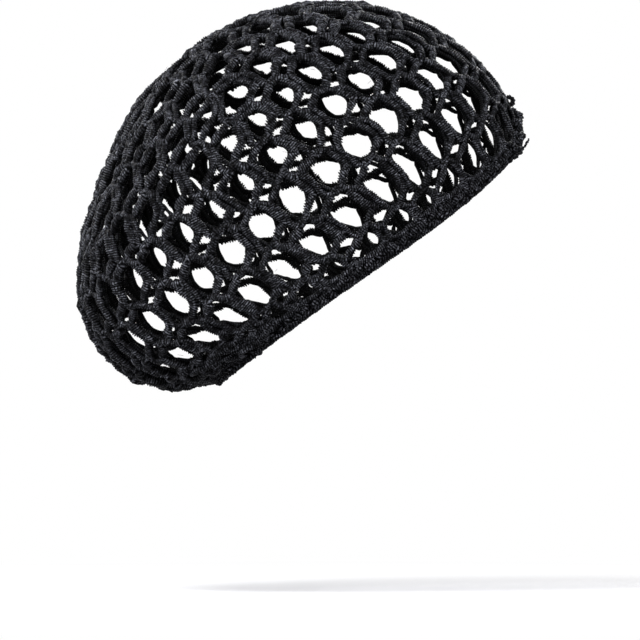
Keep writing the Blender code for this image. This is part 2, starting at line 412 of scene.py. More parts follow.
def bell(offset):
    """1 at 0, and close to 0 from 2 on."""
    return np.exp(-offset * offset)


def section_table():
    """The sections as an array, with the one past the top that keeps the crown smooth."""
    rows = np.array(SECTION_ROWS)
    share, front_x, front_z, back_x, back_z, half_width = rows[-2]
    past_top = (2.0 * rows[-1, 0] - share, back_x, back_z, front_x, front_z, -half_width)
    return np.vstack([rows, past_top])


SECTIONS = section_table()


def sections_at(share):
    """The sections' values at an array of shares, on smooth curves through the table's rows."""
    index = np.searchsorted(SECTIONS[1:-2, 0], share)
    low = SECTIONS[index]
    high = SECTIONS[index + 1]
    before = SECTIONS[np.maximum(index - 1, 0)]
    after = SECTIONS[index + 2]
    span = high[:, :1] - low[:, :1]
    along = (share[:, None] - low[:, :1]) / span
    start_slope = (high - before) / (high[:, :1] - before[:, :1])
    end_slope = (after - low) / (after[:, :1] - low[:, :1])
    return (
        (2.0 * along**3 - 3.0 * along**2 + 1.0) * low
        + (along**3 - 2.0 * along**2 + along) * span * start_slope
        + (3.0 * along**2 - 2.0 * along**3) * high
        + (along**3 - along**2) * span * end_slope
    )


def bag_points(turn, share):
    """Points of the bag's middle surface at arrays of turns and shares."""
    angle = TAU * turn
    angle = angle + SIDE_CROWDING * np.sin(2.0 * angle)
    section = dict(zip(SECTION_COLUMNS, sections_at(share).T))
    front = np.stack([section["front_x"], np.zeros(len(share)), section["front_z"]], axis=1)
    back = np.stack([section["back_x"], np.zeros(len(share)), section["back_z"]], axis=1)
    sine = np.sin(angle)
    cosine = np.cos(angle)
    across = np.copysign(np.abs(sine) ** END_BLUNTNESS, sine)
    points = 0.5 * (front + back) + 0.5 * (front - back) * cosine[:, None]
    points[:, 1] -= section["half_width"] * across * (1.0 - EGG_SHAPE * cosine)
    off_back = np.abs(math.pi - angle % TAU)
    reach = np.cos(0.5 * math.pi * np.minimum(off_back / GATHER_HALF_WIDTH, 1.0)) ** 2
    rise = np.maximum(share, 0.0) / GATHER_RISE
    wave = GATHER_DEPTH * reach * rise * np.exp(1.0 - rise) * np.cos(GATHER_COUNT * off_back)
    points += unit(front - back) * (wave * cosine)[:, None]
    fade = np.maximum(0.0, 1.0 - np.maximum(share, 0.0) / SIDE_DIP_FADE)
    dip = SIDE_DIP * (sine * (1.0 + cosine)) ** 2 / DIP_PEAK * fade**2
    return points - OPENING_AXIS * dip[:, None]


def spot_at(turn, share):
    """The spot at a turn and a share."""
    turn = np.asarray(turn, float)
    radius = 1.0 - np.asarray(share, float)
    return np.stack([radius * np.cos(TAU * turn), radius * np.sin(TAU * turn)], axis=-1)


def on_bag(spots):
    """Points of the bag at an array of spots."""
    spots = np.atleast_2d(spots)
    turn = np.arctan2(spots[:, 1], spots[:, 0]) / TAU
    return bag_points(turn, 1.0 - np.hypot(spots[:, 0], spots[:, 1]))


def outward(spots):
    """The bag's normals at an array of spots."""
    spots = np.atleast_2d(spots)
    across = on_bag(spots + (NORMAL_STEP, 0.0)) - on_bag(spots - (NORMAL_STEP, 0.0))
    along = on_bag(spots + (0.0, NORMAL_STEP)) - on_bag(spots - (0.0, NORMAL_STEP))
    return unit(np.cross(along, across))


def forward_along(spots):
    """Directions along the rounds, towards a lesser turn."""
    spots = np.atleast_2d(spots)
    turned = np.stack([spots[:, 1], -spots[:, 0]], axis=1)
    return unit(on_bag(spots + ALONG_STEP * turned) - on_bag(spots - ALONG_STEP * turned))


def frame_at(spot):
    """The bag's point at a spot, with its directions outward, forward along the round, and up."""
    normal = outward(spot)[0]
    forward = forward_along(spot)[0]
    return on_bag(spot)[0], normal, forward, np.cross(normal, forward)


def drawn_down(turn, share):
    """An opening's share after the lowest rounds are drawn down."""
    from_front = abs((turn + 0.5) % 1.0 - 0.5)
    fade = max(0.0, 1.0 - share / DRAW_FADE) ** 2
    side = SIDE_DRAW * bell((from_front - SIDE_DRAW_TURN) / SIDE_DRAW_REACH)
    back = BACK_DRAW * bell((0.5 - from_front) / BACK_DRAW_REACH)
    return share - (side + back) * fade


def stretched(turn, strength):
    """A turn after the edge is pulled long on both sides."""
    from_front = (turn + 0.5) % 1.0 - 0.5
    from_side = (abs(from_front) - PULL_TURN) / PULL_REACH
    return turn + strength * math.copysign(from_side * bell(from_side), from_front)


def let_down(spot):
    """A spot above the lowest openings, let down where the edge is pulled long."""
    turn = abs(math.atan2(spot[1], spot[0])) / TAU
    drop = PULL_DROP * float(np.interp(turn, PULL_DROP_TURNS, (0.0, 1.0, 1.0, 0.0)))
    return spot * (1.0 + drop / np.hypot(*spot))


class Junction:
    """A point where three openings meet, with the directions that its stitches are laid in.

    pair is the index of the first of its two openings that lie in one round. tops says whether that is the
    upper round: then an arch comes down to it, and it tops a pair of posts. right is towards a lesser turn.
    """

    def __init__(self, spot, pair, tops, pitch):
        self.pair = pair
        self.tops = tops
        self.size = float(np.clip(pitch / NORMAL_PITCH, *SIZE_RANGE))
        self.point, self.normal, self.right, up = frame_at(spot)
        self.up = unit(up)
        self.slack = 1.0 + CROWN_SLACK * (1.0 - abs(self.normal[1])) * (1.0 - max(self.normal[0], 0.0))
        self.spread = 0.0
        self.point = self.at(*RNG.normal(0.0, SPOT_JITTER, 2))

    @property
    def thinness(self):
        """1, and less in front, where the yarn is stretched thin."""
        return 1.0 - FRONT_THINNING * max(self.normal[0], 0.0)

    @property
    def girth(self):
        """How thick the yarn is here."""
        return (1.0 + GIRTH_SHARE * (self.size - 1.0)) * self.thinness

    def at(self, right=0.0, up=0.0, out=0.0):
        """A point beside the junction's middle."""
        return self.point + self.right * right + self.up * up + self.normal * out

    def end(self, side, up=0.0, out=0.0):
        """A point beside the junction's left (-1) or right (1) end."""
        return self.at(side * self.spread, up, out)

    def place(self, steps, size):
        """A place in the strands' table."""
        side, right, up, out = steps
        return self.at(side * self.spread + right * MM * size, up * MM * size, out * MM)


def round_of_openings(level):
    """The turns and the spots of the centres of a round's openings."""
    row = ROUNDS[level]
    count = row["openings"]
    strength = PULL_STRETCH * PULL_FADE**level
    turns = [stretched((row["offset"] + index) / count, strength) for index in range(count)]
    return turns, spot_at(turns, [drawn_down(turn, row["share"]) for turn in turns])


def turn_of(turns, index):
    """The turn at an index that may run on past the end of a round."""
    wraps, place = divmod(index, len(turns))
    return turns[place] + wraps


def triangles_between(lower, upper):
    """Triangles of openings between two rounds' turns, as (low, high, advances_upper)."""
    triangles = []
    low = 0
    high = 0
    while low < len(lower) or high < len(upper):
        lower_is_next = low < len(lower) and turn_of(lower, low + 1) < turn_of(upper, high + 1)
        advances_upper = high < len(upper) and not lower_is_next
        triangles.append((low % len(lower), high % len(upper), advances_upper))
        if advances_upper:
            high += 1
        else:
            low += 1
    return triangles


def pitch_between(first, second):
    """Distance between two openings' centres on the bag."""
    return np.linalg.norm(on_bag(second) - on_bag(first))


def edge_strip(lowest):
    """The junctions at the net's lower edge."""
    count = len(lowest)
    strip = []
    for index in range(count):
        middle = stretched((ROUNDS[0]["offset"] + index + 0.5) / count, PULL_STRETCH)
        pitch = pitch_between(lowest[index], lowest[(index + 1) % count])
        strip.append(Junction(spot_at(middle, EDGE_JUNCTION_SHARE), index, True, pitch))
    return strip


def inner_strip(lower, upper, triangles, at_edge):
    """The junctions between two rounds, one in each triangle of openings."""
    strip = []
    for low, high, tops in triangles:
        pair, spots, third = (high, upper, lower[low]) if tops else (low, lower, upper[high])
        first = spots[pair]
        second = spots[(pair + 1) % len(spots)]
        middle = (first + second + third) / 3.0
        if at_edge:
            middle = let_down(middle)
        strip.append(Junction(middle, pair, tops, pitch_between(first, second)))
    return strip


def crown_strip(highest):
    """The junctions round the opening at the top."""
    strip = []
    for index, first in enumerate(highest):
        second = highest[(index + 1) % len(highest)]
        strip.append(Junction((first + second) / 3.0, index, False, pitch_between(first, second)))
    return strip


def strips_of_junctions():
    """All junctions in order of turn, one list for each strip from the lower edge up."""
    rounds = [round_of_openings(level) for level in range(len(ROUNDS))]
    strips = [edge_strip(rounds[0][1])]
    for (lower_turns, lower), (upper_turns, upper) in zip(rounds[:-1], rounds[1:]):
        triangles = triangles_between(lower_turns, upper_turns)
        strips.append(inner_strip(lower, upper, triangles, len(strips) == 1))
    strips.append(crown_strip(rounds[-1][1]))
    return strips


def set_posts(strip):
    """Move the junctions that posts join to the posts' ends, and turn their directions to the posts."""
    for top, foot in neighbours(strip):
        if not top.tops or foot.tops:
            continue
        middle = 0.5 * (top.point + foot.point)
        half = 0.5 * POST_SHARE * (top.point - foot.point)
        normal = shared_normal(top, foot)
        up = unit(half)
        right = unit(np.cross(up, normal))
        size = min(0.5 * (top.size + foot.size), np.linalg.norm(top.point - foot.point) / SHORT_POST)
        for junction, sign in ((top, 1.0), (foot, -1.0)):
            junction.point = middle + sign * (half + right * POST_LEAN * size)
            junction.normal = normal
            junction.right = right
            junction.up = up
            junction.size = size
            junction.spread = POST_SPREAD * size * (1.0 + RNG.normal(0.0, SPREAD_JITTER))


def neighbours(strip):
    """Each junction of a strip with the next one, once round the bag."""
    return zip(strip, strip[1:] + strip[:1])


def posts_join(first, second):
    """Whether two junctions are the ends of one pair of posts, which share their directions."""
    return first.spread > 0.0 and bool(np.allclose(first.up, second.up))


def walk(strip, first, last):
    """The junctions of a strip from one place on to another."""
    steps = (last - first) % len(strip)
    return [strip[(first + step) % len(strip)] for step in range(steps + 1)]


def places_by_pair(strip, tops):
    """Places of the junctions that an arch comes down to (tops), or of the others, keyed by their pair."""
    return {junction.pair: place for place, junction in enumerate(strip) if junction.tops == tops}


class Yarn:
    """A mesh under construction, made of tubes."""

    def __init__(self, name, slot):
        self.name = name
        self.slot = slot
        self.points = []
        self.quads = []
        self.uvs = []

    def add(
        self, stops, normals, widths,
        ribbed=True, sides=CORD_SIDES, flatness=CORD_FLATNESS, step=SMOOTH_STEP, inner=False,
    ):
        """A cord through some points: ribbed as a wound cord is, or smooth as a tightly pulled one is."""
        stops = np.asarray(stops, float)
        normals = np.broadcast_to(np.asarray(normals, float), stops.shape)
        widths = np.broadcast_to(np.asarray(widths, float), len(stops))
        path = smooth_path(np.column_stack([stops, normals, widths]))
        steps = np.linalg.norm(np.diff(path[:, :3], axis=0), axis=1)
        reach = np.insert(np.cumsum(steps), 0, 0.0)
        length = reach[-1]
        tightness, phase = ribs_along(length) if ribbed else smooth_along(length, step)
        rings = len(phase)
        stations = np.linspace(0.0, length, rings)
        ring = np.stack([np.interp(stations, reach, column) for column in path.T], axis=1)
        centre = ring[:, :3]
        tangent = unit(np.gradient(centre, axis=0))
        aside = unit(np.cross(ring[:, 3:6], tangent))
        out = np.cross(tangent, aside)
        half = 0.5 * ring[:, 6] * tightness * end_rounding(stations, length, 0.5 * ring[:, 6])
        half = half * (1.0 + RNG.normal(0.0, RING_JITTER, rings))
        lumps = stations / RNG.uniform(*LUMP_LENGTH) + RNG.uniform()
        half = half * (1.0 + LUMP_SIZE * np.sin(TAU * lumps))
        lean = 0.0
        if ribbed:
            wobble = RNG.normal(0.0, RING_WOBBLE, (2, rings, 1))
            centre = centre + aside * wobble[0] + out * wobble[1]
            lean = RIB_TILT * RNG.normal(1.0, RIB_TILT_JITTER)
        angles = TAU * np.arange(sides)[:, None] / sides
        offsets = (
            np.cos(angles) * aside[:, None]
            + flatness * np.sin(angles) * out[:, None]
            + lean * np.cos(angles) * tangent[:, None]
        )
        points = centre[:, None] + half[:, None, None] * offsets
        self.take(points, phase + RIBS_BETWEEN_CORDS * len(self.points), INNER_TURNS if inner else 0.0)

    def take(self, rings, phase, turns):
        """Add a closed tube. phase is each ring's second texture value, and turns raise the first one."""
        count, sides = rings.shape[:2]
        base = sum(len(block) for block in self.points)
        row = np.arange(count - 1)[:, None] * sides
        side = np.arange(sides)
        after = (side + 1) % sides
        quads = np.stack([row + side, row + after, row + sides + after, row + sides + side], axis=-1)
        around = np.stack([side, side + 1, side + 1, side], axis=-1) / sides + turns
        around = np.broadcast_to(around, quads.shape)
        along = np.stack([phase[:-1], phase[:-1], phase[1:], phase[1:]], axis=-1)
        along = np.broadcast_to(along[:, None], quads.shape)
        ends = np.array(END_QUADS[sides])
        start_cap = ends[:, ::-1]
        finish_cap = ends + (count - 1) * sides
        self.points.append(rings.reshape(-1, 3))
        self.quads.append(np.concatenate([quads.reshape(-1, 4), start_cap, finish_cap]) + base)
        self.uvs.append(np.stack([around, along], axis=-1).reshape(-1, 2))
        for cap, cap_phase in ((start_cap, phase[0]), (ends, phase[-1])):
            cap_around = cap / sides + turns
            self.uvs.append(np.stack([cap_around, np.full(cap.shape, cap_phase)], axis=-1).reshape(-1, 2))

    def finish(self, material):
        """The finished object."""
        mesh = bpy.data.meshes.new(self.name)
        mesh.from_pydata(np.concatenate(self.points), (), np.concatenate(self.quads))
        layer = mesh.uv_layers.new(name="yarn")
        layer.data.foreach_set("uv", np.concatenate(self.uvs).astype(np.float32).ravel())
        mesh.shade_smooth()
        mesh.materials.append(material)
        piece = bpy.data.objects.new(self.name, mesh)
        bpy.context.scene.collection.objects.link(piece)
        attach(piece, "root")
        return piece


def ribs_along(length):
    """How tight a ribbed cord is at each of its rings, and how many ribs along the ring is."""
    ribs = max(LEAST_RIBS, round(length / RIB_PITCH))
    rings = ribs * RINGS_PER_RIB + 1
    depth = RNG.uniform(*RIB_DEPTH, rings)
    tightness = np.where(np.arange(rings) % RINGS_PER_RIB == 0, 1.0 - depth, 1.0)
    return tightness, np.arange(rings) / RINGS_PER_RIB


def smooth_along(length, step):
    """The same for a smooth cord."""
    rings = max(LEAST_SMOOTH_RINGS, round(length / step) + 1)
    return np.ones(rings), np.linspace(0.0, length / RIB_PITCH, rings)


def smooth_path(stops):
    """A smooth curve through rows of values."""
    padded = np.vstack([2.0 * stops[0] - stops[1], stops, 2.0 * stops[-1] - stops[-2]])
    along = np.linspace(0.0, 1.0, PATH_STEPS, endpoint=False)[:, None]
    spans = []
    for first in range(len(stops) - 1):
        before, low, high, after = padded[first:first + 4]
        spans.append(
            low
            + 0.5 * along * (high - before)
            + along**2 * (before - 2.5 * low + 2.0 * high - 0.5 * after)
            + along**3 * (1.5 * (low - high) + 0.5 * (after - before))
        )
    return np.vstack(spans + [stops[-1:]])


def end_rounding(stations, length, half_widths):
    """How much of its width a cord has, which is less near its ends."""
    from_end = np.minimum(stations, length - stations) / (END_REACH * half_widths)
    short_of_full = 1.0 - np.clip(from_end, 0.0, 1.0)
    return np.maximum(np.sqrt(1.0 - short_of_full**2), END_WIDTH)


def varied(width):
    """A width a little off the given one."""
    most = 2.0 * WIDTH_JITTER
    return width * (1.0 + np.clip(RNG.normal(0.0, WIDTH_JITTER), -most, most))


def between(start, end, places, normal, shift=0.0, rise=0.0):
    """Points at places between two others, lifted to the bag's curve and moved aside and out."""
    gap = end - start
    along = np.reshape(places, (-1, 1))
    aside = unit(np.cross(normal, gap)) * np.reshape(shift, (-1, 1))
    lift = (gap @ gap) / (2.0 * BAG_RADIUS) * along * (1.0 - along) + rise
    return start + gap * along + aside + normal * lift


def shared_normal(first, second):
    """The bag's normal between two junctions."""
    return unit(first.normal + second.normal)


def post_bend(top, foot, side, bend):
    """Where a post bends, between its two ends."""
    along, right, out = bend
    start = top.end(side)
    middle = start + (foot.end(side) - start) * along
    return middle + top.right * right * MM * top.size + top.normal * out * MM


def add_arch(yarn, high, low, foot):
    """The two strands from an upper junction down to a lower one, and on as its posts.

    Without a foot they end under the lower junction.
    """
    size = low.size
    normal = shared_normal(high, low)
    for strand in STRANDS:
        side = strand["side"]
        width = varied(strand["width"]) * low.girth * low.slack
        post = varied(POST_WIDTH) * low.girth * (1.0 + POST_SLACK * (low.slack - 1.0))
        spread = low.slack * low.thinness * (1.0 + RNG.normal(0.0, OFFSET_JITTER))
        shift = side * strand["offset"] * size * spread + RNG.normal(0.0, BOW_JITTER)
        rise = (STRAND_RISE * side + RNG.uniform(*ARCH_RISE)) * MM
        middle = between(high.point, low.point, ARCH_PLACES, normal, shift, rise)
        path = [(high.place(strand["start"], size), high.normal, ARCH_START_WIDTH * width)]
        path += [(stop, normal, width) for stop in middle]
        path.append((low.place(strand["end"], size), low.normal, width))
        if foot is None:
            path.append((low.place((side, *EDGE_TUCK), size), low.normal, width))
        else:
            if strand["post_top"]:
                path.append((low.place(strand["post_top"], size), low.normal, POST_TOP_WIDTH * post))
            path.append((post_bend(low, foot, side, strand["post_bend"]), low.normal, post))
            end = foot.end(side, POST_OVERLAP, strand["foot_out"])
            path.append((end, foot.normal, POST_FOOT_WIDTH * post))
        yarn.add(*zip(*path))


def add_bar(yarn, foot):
    """The tight yarn under a pair of posts, its ends tucked behind them."""
    width = varied(BAR_WIDTH) * foot.girth
    drop = RNG.normal(*BAR_DROP) * MM * foot.size
    stops = []
    for stop in BAR_STOPS:
        right = stop["side"] * (foot.spread + stop["past_end"] * MM)
        stops.append(foot.at(right, stop["up"] * MM * foot.size, stop["out"] * MM))
    stops.insert(2, foot.at(0.0, -drop, BAR_RISE))
    yarn.add(stops, foot.normal, BAR_SHAPE * width, **SMOOTH)


def add_link(yarn, foot, top):
    """The short yarn from a pair of posts' feet to the next pair's tops, with a slack thread over it."""
    size = 0.5 * (foot.size + top.size)
    start = foot.end(-1.0, LINK_START_UP * size)
    end = top.end(1.0, LINK_END_UP * size)
    normal = shared_normal(foot, top)
    sag = RNG.normal(0.0, LINK_SAG) * size
    width = varied(LINK_WIDTH) * foot.girth
    bends = between(start, end, LINK_PLACES, normal, sag + LINK_BENDS)
    yarn.add([start, *bends, end], normal, LINK_SHAPE * width, **SMOOTH)
    slack = RNG.uniform(*THREAD_SLACK) * size * np.sign(RNG.normal())
    middle = between(start, end, 0.5, normal, slack, THREAD_MIDDLE_RISE)
    raised = normal * THREAD_END_RISE
    yarn.add([start + raised, *middle, end + raised], normal, varied(THREAD_WIDTH), **SIMPLE)


def add_plain_edge(yarn, start, end):
    """Two strands between neighbouring junctions that no posts join."""
    normal = shared_normal(start, end)
    spread = PLAIN_END_SPREAD + (1.0 - PLAIN_END_SPREAD) * np.sin(math.pi * PLAIN_PLACES)
    for strand in STRANDS:
        shift = strand["side"] * strand["offset"] * start.size * spread
        stops = between(start.point, end.point, PLAIN_PLACES, normal, shift, PLAIN_RISE)
        yarn.add(stops, normal, varied(strand["width"]) * start.girth)


def add_edge_scallops(yarn, strip, above):
    """The cords that round the bottoms of the lowest openings."""
    highs = places_by_pair(above, False)
    for junction, after in neighbours(strip):
        sides = []
        for low, side in ((junction, 1.0), (after, -1.0)):
            shift = side * SCALLOP_OFF_ARCH * junction.size
            high = above[highs[low.pair]]
            sides.append(between(low.point, high.point, SCALLOP_ON_ARCH, low.normal, shift, BESIDE_ARCH_RISE))
        normal = shared_normal(junction, after)
        bottom = between(junction.point, after.point, SCALLOP_PLACES, normal, rise=SCALLOP_RISE)
        bottom = bottom + 0.5 * (junction.up + after.up) * SCALLOP_UP
        normals = [junction.normal, junction.normal, normal, normal, after.normal, after.normal]
        width = varied(SCALLOP_WIDTH) * junction.size
        yarn.add([*sides[0], *bottom, *sides[1][::-1]], normals, SCALLOP_SHAPE * width)


def add_inner(yarn, stops, normals, widths, step=INNER_STEP):
    """A smooth cord that lies behind others, darkened with painted shade."""
    yarn.add(stops, normals, widths, **SIMPLE, step=step, inner=True)


def add_arch_core(yarn, high, low, drop):
    """The inner cord of an arch, which ends some drop below the lower junction."""
    normal = shared_normal(high, low)
    shift = CORE_OFFSET * low.size * low.slack
    middle = between(high.point, low.point, CORE_PLACES, normal, shift, -CORE_DEPTH)
    stops = [high.point - normal * CORE_DEPTH, *middle, low.at(0.0, -drop, -CORE_DEPTH)]
    add_inner(yarn, stops, normal, CORE_WIDTH * low.girth * low.slack)


def add_heart(yarn, junction, up):
    """The short thick cord behind those that cross a junction."""
    reach = HEART_REACH * junction.size
    stops = [junction.at(side * reach, up, -HEART_DEPTH) for side in (-1.0, 0.0, 1.0)]
    add_inner(yarn, stops, junction.normal, varied(HEART_WIDTH) * junction.girth, HEART_STEP)


def add_knot(yarn, junction):
    """A small tight loop over a junction that has no posts."""
    radius = KNOT_RADIUS * junction.size
    stops = []
    for angle in RNG.uniform(0.0, TAU) + np.linspace(0.0, KNOT_ARC, KNOT_STOPS):
        stops.append(junction.at(radius * math.cos(angle), radius * math.sin(angle), KNOT_RISE))
    yarn.add(stops, junction.normal, varied(BAR_WIDTH) * KNOT_GIRTH * junction.size, **SMOOTH)


def rim_stop(start, end, centre, across):
    """Where the yarn round an opening passes one of its edges, an arch if it goes across, and its normal."""
    offset = (ARCH_RIM_OFFSET if across else RIM_OFFSET) * min(start.girth, end.girth)
    if not across and posts_join(start, end):
        offset += 0.5 * (start.spread + end.spread)
    normal = shared_normal(start, end)
    middle = between(start.point, end.point, 0.5, normal)[0]
    inward = centre - middle
    distance = np.linalg.norm(inward)
    point = middle + inward / distance * min(offset, RIM_REACH * distance)
    return point - normal * RIM_DEPTH, normal


def add_rim(yarn, lower, upper):
    """The inner cord round the opening between some lower and some upper junctions."""
    centre = np.mean([junction.point for junction in lower + upper], axis=0)
    border = lower[-1:] + upper[::-1] + lower
    passes = []
    for place, (start, end) in enumerate(zip(border[:-1], border[1:])):
        passes.append(rim_stop(start, end, centre, place in (0, len(upper))))
    passes.append(passes[0])
    stops, normals = zip(*passes)
    add_inner(yarn, stops, normals, varied(RIM_WIDTH))


def add_openings(yarn, strip, above, at_edge):
    """The arches between two strips of junctions, and the inner cords there."""
    lows = places_by_pair(strip, True)
    highs = places_by_pair(above, False)
    for pair, place in lows.items():
        low = strip[place]
        high = above[highs[pair]]
        after = strip[(place + 1) % len(strip)]
        add_arch(yarn, high, low, None if at_edge or after.tops else after)
        add_arch_core(yarn, high, low, EDGE_CORE_DROP if at_edge else 0.0)
        before = (pair - 1) % len(lows)
        add_rim(yarn, walk(strip, lows[before], place), walk(above, highs[before], highs[pair]))


def add_stitches(yarn, strip):
    """What joins the junctions of a strip, and what lies on each."""
    for junction, after in neighbours(strip):
        if junction.tops == after.tops:
            add_plain_edge(yarn, junction, after)
        elif after.tops:
            add_link(yarn, junction, after)
        else:
            add_bar(yarn, after)
        if junction.spread == 0.0:
            add_knot(yarn, junction)
            add_heart(yarn, junction, 0.0)
        elif junction.tops:
            add_heart(yarn, junction, HEART_UP * junction.size)


def build_net(material):
    """The crocheted mesh, one piece for each strip of stitches."""
    strips = strips_of_junctions()
    for strip in strips[1:-1]:
        set_posts(strip)
    for junction in strips[0]:
        junction.spread = EDGE_SPREAD * junction.size
    for level, strip in enumerate(strips):
        yarn = Yarn(f"net_round_{level + 1}", "mesh_yarn")
        if level + 1 < len(strips):
            add_openings(yarn, strip, strips[level + 1], level == 0)
        if level == 0:
            add_edge_scallops(yarn, strip, strips[1])
        else:
            add_stitches(yarn, strip)
        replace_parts(yarn.finish(material), "net")


def add_edge_stitch(yarn, turn, row):
    """One stitch of the edging: a ribbed cord on the outside, and a smooth one on the inside."""
    half = row["lean"] * RNG.normal(*STITCH_HALF_LEAN) / EDGE_STITCHES
    shares = row["low"] + (row["high"] - row["low"]) * STITCH_LEVELS + abs(RNG.normal(0.0, STITCH_LIFT))
    spots = spot_at(turn + half * STITCH_LEANS, shares)
    points = on_bag(spots)
    normals = outward(spots)
    rise = RNG.normal(*STITCH_RISE)
    rises = np.array([STITCH_END_RISE, rise, rise + STITCH_MORE_RISE, STITCH_END_RISE])[:, None] * MM
    yarn.add(points + normals * rises, normals, varied(OUTER_STITCH_WIDTH))
    yarn.add(points - normals * rises, -normals, varied(INNER_STITCH_WIDTH), **SIMPLE, step=INNER_STITCH_STEP)


def build_band(material):
    """The crocheted edging: short stitches that lean over cords, in two rows."""
    stitches = Yarn("edge_stitches", "edging_yarn")
    for row in STITCH_ROWS:
        for index in range(EDGE_STITCHES):
            turn = (index + RNG.normal(0.0, STITCH_JITTER)) / EDGE_STITCHES
            add_edge_stitch(stitches, turn, row)
    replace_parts(stitches.finish(material), "edge_band")

    cords = Yarn("edge_cords", "edging_yarn")
    for row in EDGE_CORDS:
        spots = spot_at(np.linspace(0.0, 1.0, EDGE_CORD_STOPS), row["share"])
        normals = outward(spots)
        wave = RNG.normal(0.0, EDGE_CORD_WAVE, (EDGE_CORD_STOPS, 1)) * MM
        wave[-1] = wave[0]
        style = {} if row["ribbed"] else SIMPLE
        stops = on_bag(spots) + normals * wave
        cords.add(stops, normals, row["width"], flatness=EDGE_CORD_FLATNESS, step=EDGE_CORD_STEP, **style)
    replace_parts(cords.finish(material), "edge_band")


def add_slack_cords(yarn):
    """Cords that are squeezed together along the edging on both sides of the back."""
    along = np.linspace(-1.0, 1.0, len(SLACK_RISE_SHAPE))
    for side in (-1.0, 1.0):
        for _ in range(SLACK_CORDS):
            turn = 0.5 + side * RNG.uniform(*SLACK_TURNS)
            share = RNG.uniform(*SLACK_SHARES)
            turns = turn + RNG.uniform(*SLACK_LENGTHS) * along
            bend = RNG.normal(0.0, SLACK_BEND)
            slope = side * RNG.normal(*SLACK_SLOPE)
            wobble = RNG.normal(0.0, SLACK_WOBBLE, len(along))
            spots = spot_at(turns, share + slope * along + bend * along**2 + wobble)
            normals = outward(spots)
            rises = RNG.uniform(*SLACK_RISE) * SLACK_RISE_SHAPE
            rises = (rises + RNG.normal(0.0, SLACK_RISE_JITTER, len(along))) * MM
            yarn.add(on_bag(spots) + normals * rises[:, None], normals, varied(SLACK_WIDTH))


def random_heading(turns, shares, widest):
    """A random point between some turns and shares, the normal there and a direction along the bag."""
    spot = spot_at(RNG.uniform(*turns), RNG.uniform(*shares))
    point, normal, forward, up = frame_at(spot)
    heading = RNG.uniform(0.0, widest)
    return point, normal, forward * math.cos(heading) + up * math.sin(heading)


def add_loops(yarn):
    """Loose loops of yarn that stand out from the edging in front."""
    for _ in range(LOOPS):
        point, normal, along = random_heading(LOOP_TURNS, LOOP_SHARES, math.pi)
        radius = RNG.uniform(*LOOP_RADIUS) * MM
        shifts = np.array((-LOOP_FOOT, -1.0, RNG.uniform(-LOOP_TOP_SHIFT, LOOP_TOP_SHIFT), 1.0, LOOP_FOOT))
        rises = np.array((0.0, LOOP_SHOULDER, LOOP_TOP, LOOP_SHOULDER, 0.0)) * radius
        rises[[0, -1]] = -LOOP_FOOT_DEPTH
        stops = point + along * radius * shifts[:, None] + normal * rises[:, None]
        yarn.add(stops, np.cross(normal, along), varied(LOOP_WIDTH))


def add_round_loop(yarn):
    """The one loop in front that is open in the middle."""
    point, normal, _, up = frame_at(spot_at(0.0, ROUND_LOOP_SHARE))
    angles = np.linspace(0.0, TAU, ROUND_LOOP_STOPS)
    ring = np.cos(angles)[:, None] * up + np.sin(angles)[:, None] * normal
    centre = point + normal * ROUND_LOOP_RISE
    yarn.add(centre + ROUND_LOOP_RADIUS * ring, ring, ROUND_LOOP_WIDTH)


def add_tail(yarn):
    """The end of the yarn, left hanging out in front."""
    point = on_bag(spot_at(TAIL_TURN, TAIL_SHARE))[0]
    stops = [point + np.array(step) * MM for step in TAIL_STEPS]
    yarn.add(stops, (0.0, -1.0, 0.0), varied(TAIL_WIDTH))


def add_fibres(yarn):
    """Fine loose fibres that stand off the yarn."""
    for _ in range(FIBRES):
        point, normal, along = random_heading((0.0, 1.0), FIBRE_SHARES, TAU)
        length = RNG.uniform(*FIBRE_LENGTH) * MM
        stops = [
            point + normal * FIBRE_ROOT_RISE,
            point + normal * FIBRE_KNEE_RISE + along * FIBRE_KNEE * length,
            point + normal * RNG.uniform(*FIBRE_TIP_RISE) * MM + along * length,
        ]
        yarn.add(stops, normal, FIBRE_WIDTH, flatness=1.0, **SIMPLE)


def build_extras(material):
    """Slack cords at the back, loose fibres, and the loops and the yarn's end in front."""
    gathers = Yarn("nape_gathers", "mesh_yarn")
    add_slack_cords(gathers)
    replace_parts(gathers.finish(material), "net")
    fibres = Yarn("stray_fibres", "mesh_yarn")
    add_fibres(fibres)
    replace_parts(fibres.finish(material), "net")
    loops = Yarn("forehead_loops", "edging_yarn")
    add_loops(loops)
    add_round_loop(loops)
    add_tail(loops)
    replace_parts(loops.finish(material), "edge_band")


def new_material(name):
    """A material, its nodes and its shader."""
    material = bpy.data.materials.new(name)
    material.use_nodes = True
    return material, material.node_tree, material.node_tree.nodes["Principled BSDF"]


def feed(tree, node, inputs):
    """Set a node's inputs, each to a value or by a link from another node's output."""
    for name, value in inputs.items():
        if isinstance(value, bpy.types.NodeSocket):
            tree.links.new(value, node.inputs[name])
        else:
            node.inputs[name].default_value = value


def add_node(tree, kind, inputs, **settings):
    """A new node with its inputs and settings."""
    node = tree.nodes.new(kind)
    for name, value in settings.items():
        setattr(node, name, value)
    feed(tree, node, inputs)
    return node


def mapped(tree, value, given, wanted=(0.0, 1.0), **settings):
    """A value, its given range mapped to the wanted one."""
    inputs = {"Value": value}
    inputs |= zip(("From Min", "From Max", "To Min", "To Max"), (*given, *wanted))
    return add_node(tree, "ShaderNodeMapRange", inputs, **settings).outputs["Result"]


def worked_out(tree, operation, *values):
    """The result of an operation on some values."""
    return add_node(tree, "ShaderNodeMath", dict(enumerate(values)), operation=operation).outputs["Value"]


